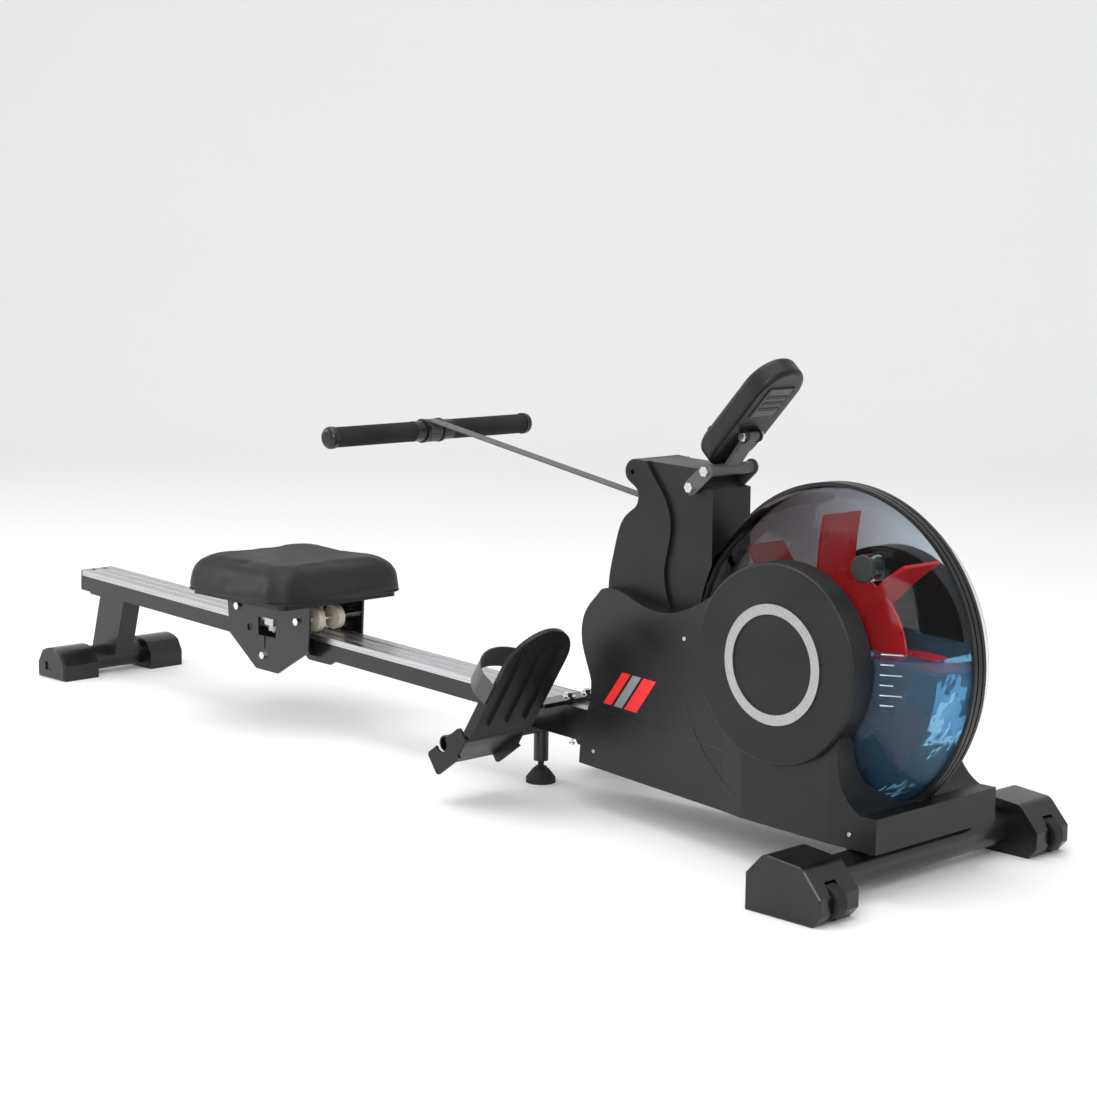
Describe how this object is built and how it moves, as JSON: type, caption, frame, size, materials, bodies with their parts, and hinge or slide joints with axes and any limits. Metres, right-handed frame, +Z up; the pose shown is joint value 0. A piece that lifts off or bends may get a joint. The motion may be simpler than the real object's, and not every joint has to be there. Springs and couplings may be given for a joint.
{
  "type": "rowing machine",
  "caption": "Water rowing machine with a slanted rail, a rolling seat, foot plates, a pull handle on a strap and an upright clear tank with a paddle wheel.",
  "frame": {"origin": "on the floor, under the middle of the overall length, on the mid-plane", "axes": "+X from the seat towards the water tank, +Z up, -Y the right-hand side of a seated person facing the tank"},
  "size_m": [2.1, 0.57, 0.7083],
  "materials": {
    "satin_black_plastic": "satin",
    "gloss_black_plastic": "glossy",
    "black_paint": "semi-gloss",
    "rail_aluminium": "anodised satin",
    "chrome": "polished",
    "steel": "brushed",
    "grey_paint": "satin",
    "tank_clear": "clear moulded plastic",
    "water": "clear water",
    "impeller_red": "satin",
    "black_rubber": "matt",
    "foam_grip": "matt foam",
    "seat_vinyl": "matt vinyl",
    "webbing": "woven",
    "roller_white": "satin",
    "silver_trim": "metallic satin",
    "screen": "glossy",
    "seal_black": "satin"
  },
  "bodies": {
    "frame": {"console_bracket": "grey_paint", "drive_belt": "black_rubber", "foot_plates": "satin_black_plastic", "foot_rest_bars": "black_paint", "foot_straps": "webbing", "frame_bolts": "chrome", "front_feet": "gloss_black_plastic", "front_stabilizer_tube": "black_paint", "heel_trays": "satin_black_plastic", "hub_trim_rings": "silver_trim", "main_beam": "black_paint", "mast": "black_paint", "rail_beam": "black_paint", "rail_end_cap": "satin_black_plastic", "rail_extrusion": "rail_aluminium", "rear_feet": "gloss_black_plastic", "rear_stand": "black_paint", "recoil_spring": "steel", "recoil_spring_case": "black_paint", "roller_bracket": "black_paint", "shaft_bearings": "steel", "side_beams": "black_paint", "side_cover_left": "satin_black_plastic", "side_cover_right": "satin_black_plastic", "tank_seal_band": "seal_black", "tank_shell_left": "tank_clear", "tank_shell_right": "tank_clear", "tank_water": "water", "tower_covers": "satin_black_plastic", "wheel_axles": "chrome"},
    "seat": {"seat_pad": "seat_vinyl", "seat_base": "satin_black_plastic", "carriage_plates": "black_paint", "carriage_axles": "chrome", "side_roller_brackets": "steel"},
    "upper_rear": {"upper_rollers_rear": "roller_white"},
    "upper_front": {"upper_rollers_front": "roller_white"},
    "lower": {"lower_roller": "roller_white"},
    "side_left": {"side_roller_left": "roller_white"},
    "side_right": {"side_roller_right": "roller_white"},
    "handle": {"handle_bar": "steel", "handle_grips": "foam_grip", "handle_end_caps": "gloss_black_plastic", "handle_collar": "gloss_black_plastic", "pull_strap": "webbing"},
    "idler": {"strap_idler": "roller_white"},
    "drum": {"strap_drum": "roller_white", "drum_shaft": "steel"},
    "paddle": {"impeller": "impeller_red", "impeller_shaft": "steel", "large_pulley": "roller_white"},
    "wheel_left": {"transport_wheel_left": "black_rubber"},
    "wheel_right": {"transport_wheel_right": "black_rubber"},
    "console": {"console_back": "satin_black_plastic", "console_front": "satin_black_plastic", "console_screen": "screen"},
    "button": {"mode_button": "gloss_black_plastic"},
    "plug": {"fill_plug": "gloss_black_plastic"},
    "leveller": {"levelling_foot": "black_rubber"},
    "pin": {"rail_lock_pin": "chrome"}
  },
  "joints": [
    {"name": "seat_roll", "type": "slide", "parent": "frame", "child": "seat", "axis": [0.9993, 0, -0.0366], "range_m": [-0.4, 0.45]},
    {"name": "upper_rear_spin", "type": "hinge", "parent": "seat", "child": "upper_rear", "pos_m": [-0.50843, 0, 0.20003], "axis": [0, 1, 0], "continuous": true},
    {"name": "upper_front_spin", "type": "hinge", "parent": "seat", "child": "upper_front", "pos_m": [-0.33843, 0, 0.1938], "axis": [0, 1, 0], "continuous": true},
    {"name": "lower_spin", "type": "hinge", "parent": "seat", "child": "lower", "pos_m": [-0.43424, 0, 0.12046], "axis": [0, 1, 0], "continuous": true},
    {"name": "side_left_spin", "type": "hinge", "parent": "seat", "child": "side_left", "pos_m": [-0.42443, 0.0459, 0.16953], "axis": [0.0366, 0, 0.9993], "continuous": true},
    {"name": "side_right_spin", "type": "hinge", "parent": "seat", "child": "side_right", "pos_m": [-0.42443, -0.0459, 0.16953], "axis": [0.0366, 0, 0.9993], "continuous": true},
    {"name": "handle_pull", "type": "slide", "parent": "frame", "child": "handle", "axis": [-0.9865, 0, 0.1639], "range_m": [-0.4, 0.55], "deforming": ["pull_strap"]},
    {"name": "idler_spin", "type": "hinge", "parent": "frame", "child": "idler", "pos_m": [0.47375, 0, 0.461], "axis": [0, 1, 0], "continuous": true},
    {"name": "drum_spin", "type": "hinge", "parent": "frame", "child": "drum", "pos_m": [0.46275, 0, 0.225], "axis": [0, 1, 0], "continuous": true},
    {"name": "paddle_spin", "type": "hinge", "parent": "frame", "child": "paddle", "pos_m": [0.80775, 0, 0.3], "axis": [0, 1, 0], "continuous": true},
    {"name": "wheel_left_spin", "type": "hinge", "parent": "frame", "child": "wheel_left", "pos_m": [1.00135, 0.249, 0.0292], "axis": [0, 1, 0], "continuous": true},
    {"name": "wheel_right_spin", "type": "hinge", "parent": "frame", "child": "wheel_right", "pos_m": [1.00135, -0.249, 0.0292], "axis": [0, 1, 0], "continuous": true},
    {"name": "console_tilt", "type": "hinge", "parent": "frame", "child": "console", "pos_m": [0.63475, 0, 0.592], "axis": [0, 1, 0], "range_deg": [-2, 35]},
    {"name": "button_press", "type": "slide", "parent": "console", "child": "button", "axis": [0.7385, 0, -0.6743], "range_m": [0, 0.0015], "stiffness_N_per_m": 400, "springref_m": -0.001},
    {"name": "plug_pull", "type": "slide", "parent": "frame", "child": "plug", "axis": [0, -1, 0], "range_m": [0, 0.015]},
    {"name": "leveller_raise", "type": "slide", "parent": "frame", "child": "leveller", "axis": [0, 0, 1], "range_m": [0, 0.01]},
    {"name": "pin_pull", "type": "slide", "parent": "frame", "child": "pin", "axis": [0, 0, -1], "range_m": [0, 0.008], "stiffness_N_per_m": 400, "springref_m": -0.004}
  ],
  "couplings": [
    {"joint": "upper_rear_spin", "follows": "seat_roll", "rad_per_m": 45.455},
    {"joint": "upper_front_spin", "follows": "seat_roll", "rad_per_m": 45.455},
    {"joint": "lower_spin", "follows": "seat_roll", "rad_per_m": -66.667},
    {"joint": "side_left_spin", "follows": "seat_roll", "rad_per_m": -105.26},
    {"joint": "side_right_spin", "follows": "seat_roll", "rad_per_m": 105.26},
    {"joint": "idler_spin", "follows": "handle_pull", "rad_per_m": -65.79},
    {"joint": "drum_spin", "follows": "handle_pull", "rad_per_m": -34.602},
    {"joint": "paddle_spin", "follows": "handle_pull", "rad_per_m": -15.571}
  ]
}
